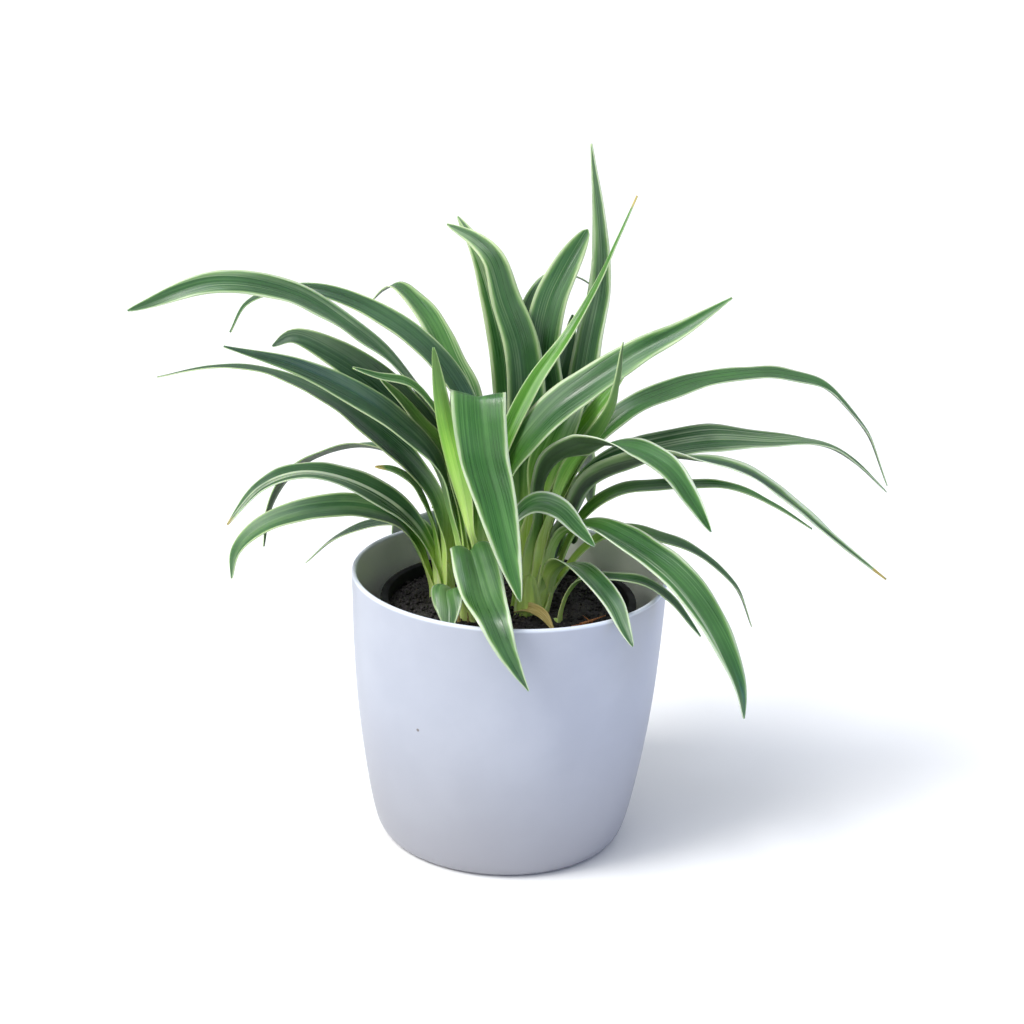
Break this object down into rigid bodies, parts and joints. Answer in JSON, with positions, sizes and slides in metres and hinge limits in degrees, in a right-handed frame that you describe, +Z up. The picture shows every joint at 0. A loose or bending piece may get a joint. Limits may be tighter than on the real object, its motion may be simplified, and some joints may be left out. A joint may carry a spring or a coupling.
{
  "type": "potted spider plant",
  "caption": "Clump of long arching leaves with cream edges, growing in dark soil in a black grower's pot that stands inside a plain white round planter.",
  "frame": {"origin": "middle of the planter's flat foot, on the surface it stands on", "axes": "+X to the right as seen from the front, +Y to the back, +Z up along the planter's axis"},
  "size_m": [0.335, 0.2174, 0.3101],
  "materials": {
    "blade": "satin green leaf with cream edges",
    "dry_leaf": "matt dried leaf",
    "sheath": "satin pale leaf sheath",
    "planter": "satin white moulded plastic",
    "grower_pot": "thin black moulded plastic",
    "soil": "matt dark potting compost"
  },
  "bodies": {
    "root": {"leaf_front_01": "blade", "leaf_front_02": "blade", "leaf_front_03": "blade", "leaf_front_04": "blade", "leaf_front_05": "blade", "leaf_front_06": "blade", "leaf_front_07": "blade", "leaf_front_08": "blade", "leaf_front_09": "blade", "leaf_front_10": "blade", "leaf_front_11": "blade", "leaf_front_12": "blade", "leaf_front_13": "blade", "leaf_front_14": "blade", "leaf_left_01": "blade", "leaf_left_02": "blade", "leaf_left_03": "blade", "leaf_left_04": "blade", "leaf_left_05": "blade", "leaf_left_06": "blade", "leaf_left_07": "blade", "leaf_right_01": "blade", "leaf_right_02": "blade", "leaf_right_03": "blade", "leaf_right_04": "blade", "leaf_right_05": "blade", "leaf_right_06": "blade", "leaf_right_07": "blade", "leaf_right_08": "blade", "leaf_right_09": "blade", "leaf_right_10": "blade", "leaf_right_11": "blade", "leaf_right_12": "blade", "leaf_back_01": "blade", "leaf_back_02": "blade", "leaf_back_03": "blade", "leaf_back_04": "blade", "leaf_back_05": "blade", "leaf_back_06": "blade", "leaf_back_07": "blade", "leaf_back_08": "blade", "leaf_back_09": "blade", "leaf_back_11": "blade", "leaf_young": "blade", "leaf_withered": "dry_leaf", "crown_left": "sheath", "crown_front": "sheath", "crown_right": "sheath", "crown_back": "sheath", "crown_young": "sheath", "planter": "planter", "grower_pot": "grower_pot", "potting_soil": "soil"}
  },
  "joints": []
}
